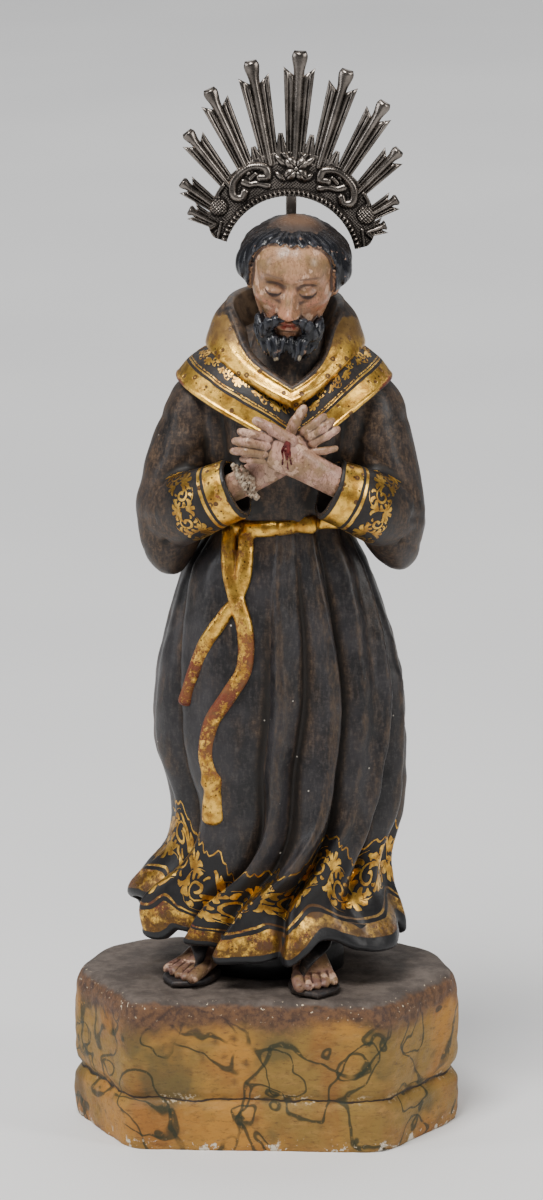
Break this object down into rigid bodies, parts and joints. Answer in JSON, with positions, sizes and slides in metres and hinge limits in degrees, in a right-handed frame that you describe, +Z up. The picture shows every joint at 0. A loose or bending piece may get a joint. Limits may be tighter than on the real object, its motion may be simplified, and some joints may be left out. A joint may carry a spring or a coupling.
{
  "type": "carved wooden saint statue",
  "caption": "Carved and painted wooden friar figure with crossed hands on a marbled wooden plinth, with a lift-off silver ray halo.",
  "frame": {"origin": "centre of the plinth's flat underside", "axes": "+X to the viewer's right, -Y towards the viewer, +Z up through the halo"},
  "size_m": [0.1268, 0.0784, 0.3492],
  "materials": {
    "painted_figure": "aged paint and gold leaf on carved wood",
    "marbled_plinth": "worn painted marbling on wood",
    "halo_silver": "tarnished chased silver sheet",
    "stem_silver": "dull silver strip"
  },
  "bodies": {
    "root": {"saint_figure": "painted_figure", "plinth": "marbled_plinth", "halo": "halo_silver", "halo_stem": "stem_silver"}
  },
  "joints": []
}
